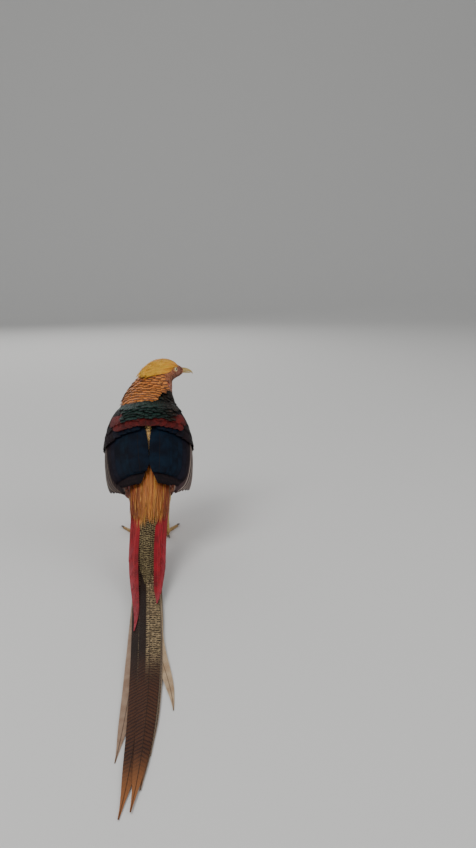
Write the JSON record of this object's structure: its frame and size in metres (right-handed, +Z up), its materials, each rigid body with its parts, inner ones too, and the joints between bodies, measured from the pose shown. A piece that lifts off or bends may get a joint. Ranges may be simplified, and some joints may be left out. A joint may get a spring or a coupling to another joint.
{
  "type": "golden pheasant",
  "caption": "Male golden pheasant standing with its head turned to its right, wings folded and long barred tail laid on the floor behind it.",
  "frame": {"origin": "on the floor, under the middle of the whole bird with its tail", "axes": "+Z up, the bird faces -Y and its tail runs along +Y, so its left side is +X"},
  "size_m": [0.1576, 0.8334, 0.2834],
  "materials": {
    "scarlet_plumage": "soft feathers with a silky sheen",
    "face_plumage": "short velvety feathers",
    "gold_plumage": "glossy hair-like feathers",
    "orange_cape": "glossy feathers with dark bars",
    "wing_plumage": "close vanes, metallic blue on the inner ones",
    "tail_plumage": "smooth vanes with buff spots and bars",
    "scarlet_coverts": "long narrow glossy feathers",
    "bill": "smooth horn",
    "eye": "wet gloss",
    "leg_skin": "scaled horny skin",
    "claw": "worn horn"
  },
  "bodies": {
    "root": {"torso": "scarlet_plumage", "neck": "face_plumage", "head": "face_plumage", "eye_left": "eye", "eye_right": "eye", "bill_upper": "bill", "bill_lower": "bill", "crest": "gold_plumage", "cape": "orange_cape", "wing_left": "wing_plumage", "wing_right": "wing_plumage", "tail": "tail_plumage", "tail_coverts": "scarlet_coverts", "thigh_left": "scarlet_plumage", "shank_left": "leg_skin", "foot_left": "leg_skin", "claw_inner_left": "claw", "claw_middle_left": "claw", "claw_outer_left": "claw", "claw_hind_left": "claw", "thigh_right": "scarlet_plumage", "shank_right": "leg_skin", "foot_right": "leg_skin", "claw_inner_right": "claw", "claw_middle_right": "claw", "claw_outer_right": "claw", "claw_hind_right": "claw"}
  },
  "joints": []
}
